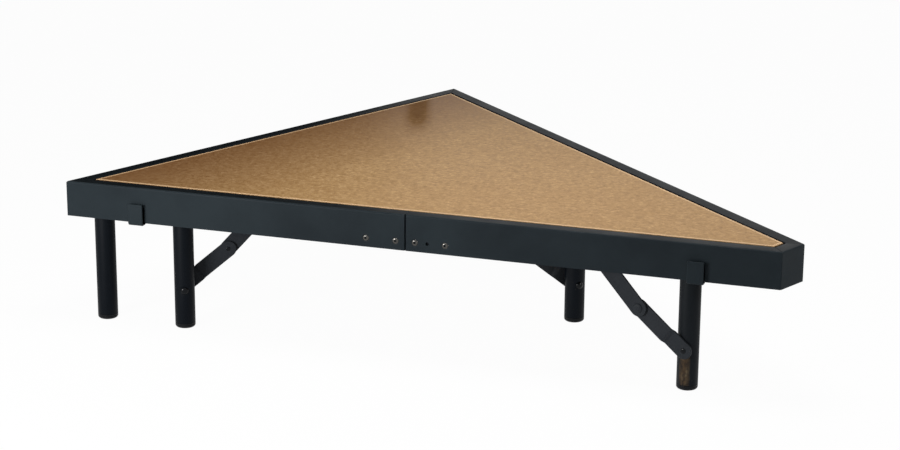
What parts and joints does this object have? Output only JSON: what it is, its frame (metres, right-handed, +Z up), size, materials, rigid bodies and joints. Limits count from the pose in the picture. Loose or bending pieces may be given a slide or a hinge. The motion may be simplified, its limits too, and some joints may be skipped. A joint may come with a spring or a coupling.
{
  "type": "pie stage deck",
  "caption": "Low wedge-shaped stage platform: hardboard deck in a folded steel rim, on folding tube legs with two-link braces.",
  "frame": {"origin": "on the floor, under the centre of the bounding box", "axes": "+X along the front rail towards the narrow tip, +Y from the front rail into the deck, +Z up"},
  "size_m": [1.009, 0.7537, 0.2032],
  "materials": {
    "frame": "black satin powder coat",
    "board": "tan tempered hardboard on plywood, satin",
    "foot": "black moulded foot",
    "plated": "bright zinc plate"
  },
  "bodies": {
    "deck": {"deck_board": "board", "front_rail_left": "frame", "front_rail_right": "frame", "tip_rail": "frame", "back_rail": "frame", "outer_rail": "frame", "splice_plate": "frame", "splice_rivet_1": "plated", "splice_rivet_2": "plated", "splice_rivet_3": "plated", "splice_rivet_4": "plated", "joining_hook_left": "frame", "joining_hook_right": "frame", "front_leg_bar": "frame", "middle_leg_bar": "frame", "tip_leg_bar": "frame", "front_leg_bracket": "frame", "front_leg_hinge_pin": "frame", "front_leg_anchor_pin": "frame", "middle_leg_bracket": "frame", "middle_leg_hinge_pin": "frame", "middle_leg_anchor_pin": "frame", "tip_leg_bracket": "frame", "tip_leg_hinge_pin": "frame", "tip_leg_anchor_pin": "frame", "front_corner_leg_bracket": "frame", "front_corner_leg_hinge_pin": "frame", "back_corner_leg_bracket": "frame", "back_corner_leg_hinge_pin": "frame"},
    "front_leg": {"front_leg_tube": "frame", "front_leg_foot": "foot", "front_leg_brace_rivet": "frame"},
    "front_leg_lower_brace": {"front_leg_lower_link": "frame"},
    "front_leg_upper_brace": {"front_leg_upper_link": "frame", "front_leg_knee_rivet": "frame"},
    "middle_leg": {"middle_leg_tube": "frame", "middle_leg_foot": "foot", "middle_leg_brace_rivet": "frame"},
    "middle_leg_lower_brace": {"middle_leg_lower_link": "frame"},
    "middle_leg_upper_brace": {"middle_leg_upper_link": "frame", "middle_leg_knee_rivet": "frame"},
    "tip_leg": {"tip_leg_tube": "frame", "tip_leg_foot": "foot", "tip_leg_brace_rivet": "frame"},
    "tip_leg_lower_brace": {"tip_leg_lower_link": "frame"},
    "tip_leg_upper_brace": {"tip_leg_upper_link": "frame", "tip_leg_knee_rivet": "frame"},
    "front_corner_leg": {"front_corner_leg_tube": "frame", "front_corner_leg_foot": "foot"},
    "back_corner_leg": {"back_corner_leg_tube": "frame", "back_corner_leg_foot": "foot"}
  },
  "joints": [
    {"name": "front_leg_fold", "type": "hinge", "parent": "deck", "child": "front_leg", "pos_m": [-0.34762, -0.33189, 0.16776], "axis": [0.4226, -0.9063, 0], "range_deg": [0, 90]},
    {"name": "front_leg_lower_link_turn", "type": "hinge", "parent": "front_leg", "child": "front_leg_lower_brace", "pos_m": [-0.34762, -0.33189, 0.055], "axis": [0.4226, -0.9063, 0], "range_deg": [0, 52]},
    {"name": "front_leg_upper_link_turn", "type": "hinge", "parent": "deck", "child": "front_leg_upper_brace", "pos_m": [-0.23817, -0.28086, 0.16776], "axis": [0.4226, -0.9063, 0], "range_deg": [-48, 0]},
    {"name": "middle_leg_fold", "type": "hinge", "parent": "deck", "child": "middle_leg", "pos_m": [0.15326, -0.12182, 0.16776], "axis": [-0.7071, 0.7071, 0], "range_deg": [0, 90]},
    {"name": "middle_leg_lower_link_turn", "type": "hinge", "parent": "middle_leg", "child": "middle_leg_lower_brace", "pos_m": [0.15326, -0.12182, 0.055], "axis": [-0.7071, 0.7071, 0], "range_deg": [0, 52]},
    {"name": "middle_leg_upper_link_turn", "type": "hinge", "parent": "deck", "child": "middle_leg_upper_brace", "pos_m": [0.06788, -0.20721, 0.16776], "axis": [-0.7071, 0.7071, 0], "range_deg": [-48, 0]},
    {"name": "tip_leg_fold", "type": "hinge", "parent": "deck", "child": "tip_leg", "pos_m": [0.3649, -0.33789, 0.16776], "axis": [0.1736, 0.9848, 0], "range_deg": [0, 90]},
    {"name": "tip_leg_lower_link_turn", "type": "hinge", "parent": "tip_leg", "child": "tip_leg_lower_brace", "pos_m": [0.3649, -0.33789, 0.055], "axis": [0.1736, 0.9848, 0], "range_deg": [0, 52]},
    {"name": "tip_leg_upper_link_turn", "type": "hinge", "parent": "deck", "child": "tip_leg_upper_brace", "pos_m": [0.24597, -0.31692, 0.16776], "axis": [0.1736, 0.9848, 0], "range_deg": [-48, 0]},
    {"name": "front_corner_leg_fold", "type": "hinge", "parent": "deck", "child": "front_corner_leg", "pos_m": [-0.46675, -0.33289, 0.16776], "axis": [0.9239, -0.3827, 0], "range_deg": [0, 90]},
    {"name": "back_corner_leg_fold", "type": "hinge", "parent": "deck", "child": "back_corner_leg", "pos_m": [-0.19467, 0.32397, 0.16776], "axis": [-0.9239, 0.3827, 0], "range_deg": [0, 90]}
  ],
  "couplings": [
    {"joint": "front_leg_lower_link_turn", "follows": "front_leg_fold", "ratio": 0.56825},
    {"joint": "front_leg_upper_link_turn", "follows": "front_leg_fold", "ratio": -0.52036},
    {"joint": "middle_leg_lower_link_turn", "follows": "middle_leg_fold", "ratio": 0.56825},
    {"joint": "middle_leg_upper_link_turn", "follows": "middle_leg_fold", "ratio": -0.52036},
    {"joint": "tip_leg_lower_link_turn", "follows": "tip_leg_fold", "ratio": 0.56825},
    {"joint": "tip_leg_upper_link_turn", "follows": "tip_leg_fold", "ratio": -0.52036}
  ]
}
